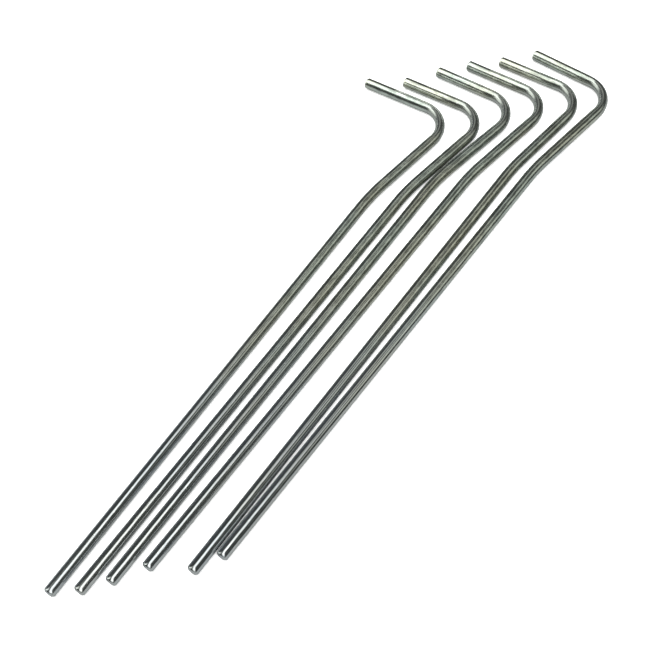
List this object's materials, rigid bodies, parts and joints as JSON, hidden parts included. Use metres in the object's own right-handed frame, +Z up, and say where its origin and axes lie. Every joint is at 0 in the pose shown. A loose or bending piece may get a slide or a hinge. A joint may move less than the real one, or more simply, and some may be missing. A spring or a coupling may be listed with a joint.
{
  "type": "tent stake",
  "caption": "Row of hooked round-wire tent stakes lying flat side by side; each is one wire with a straight blunt shaft, a shallow joggle, a short neck and an L-shaped hook.",
  "frame": {"origin": "middle of the row's plan outline, on the surface that the stakes lie on", "axes": "+Y along the shafts from the tips to the hooks, +X across the row from stake_1 to stake_6, +Z up out of the surface"},
  "size_m": [0.0852, 0.271, 0.0042],
  "materials": {
    "zinc_wire": "bright zinc plate"
  },
  "bodies": {
    "stake_1": {"stake_1": "zinc_wire"},
    "stake_2": {"stake_2": "zinc_wire"},
    "stake_3": {"stake_3": "zinc_wire"},
    "stake_4": {"stake_4": "zinc_wire"},
    "stake_5": {"stake_5": "zinc_wire"},
    "stake_6": {"stake_6": "zinc_wire"}
  },
  "joints": [
    {"name": "stake_1_lift", "type": "slide", "parent": "stake_3", "child": "stake_1", "axis": [0, 0, 1], "range_m": [0, 0.05]},
    {"name": "stake_2_lift", "type": "slide", "parent": "stake_3", "child": "stake_2", "axis": [0, 0, 1], "range_m": [0, 0.05]},
    {"name": "stake_4_lift", "type": "slide", "parent": "stake_3", "child": "stake_4", "axis": [0, 0, 1], "range_m": [0, 0.05]},
    {"name": "stake_5_lift", "type": "slide", "parent": "stake_3", "child": "stake_5", "axis": [0, 0, 1], "range_m": [0, 0.05]},
    {"name": "stake_6_lift", "type": "slide", "parent": "stake_3", "child": "stake_6", "axis": [0, 0, 1], "range_m": [0, 0.05]}
  ]
}
